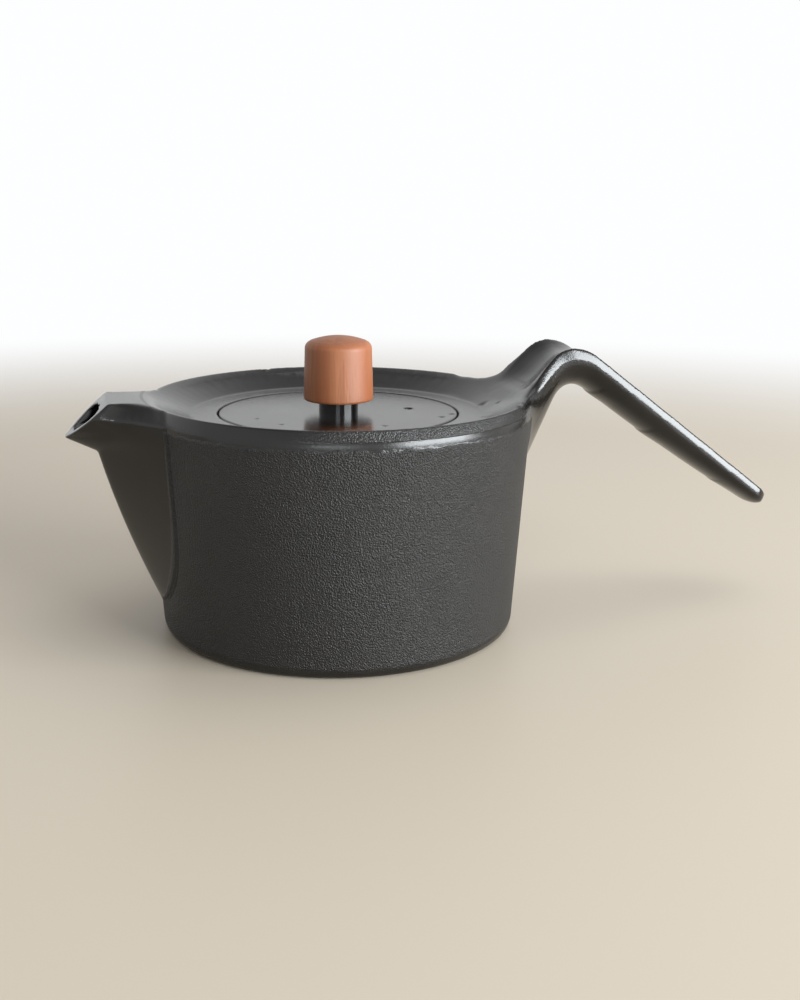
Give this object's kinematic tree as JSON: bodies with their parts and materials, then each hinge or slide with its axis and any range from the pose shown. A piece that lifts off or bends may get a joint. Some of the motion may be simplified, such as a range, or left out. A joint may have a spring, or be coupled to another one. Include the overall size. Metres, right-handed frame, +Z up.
{
  "type": "teapot",
  "caption": "Low cast-iron teapot with a flush lift-off lid, a turned wooden knob, a cast spout, an angled strap handle and a lift-out strainer.",
  "frame": {"origin": "centre of the foot's rest face, on the bowl's axis", "axes": "+Z up, +X along the handle, -X towards the spout"},
  "size_m": [0.2439, 0.1258, 0.0954],
  "materials": {
    "cast_iron": "satin black, sand-cast grain on the wall",
    "cast_iron_lid": "satin black, smooth",
    "wood": "reddish-brown, oiled, upright grain",
    "black_spacer": "glossy black",
    "brass": "turned",
    "steel": "satin",
    "strainer_steel": "polished edge",
    "strainer_sheet": "perforated sheet"
  },
  "bodies": {
    "pot": {"pot_body": "cast_iron"},
    "strainer": {"strainer_rim": "strainer_steel", "strainer_wall": "strainer_sheet", "strainer_floor": "strainer_sheet", "strainer_hoop": "strainer_steel"},
    "lid": {"lid": "cast_iron_lid", "knob": "wood", "knob_collar": "black_spacer", "knob_insert": "brass", "knob_screw": "steel", "knob_washer": "steel"}
  },
  "joints": [
    {"name": "strainer_lift", "type": "slide", "parent": "pot", "child": "strainer", "axis": [0, 0, 1], "range_m": [0, 0.08]},
    {"name": "lid_lift", "type": "slide", "parent": "strainer", "child": "lid", "axis": [0, 0, 1], "range_m": [0, 0.035]}
  ]
}
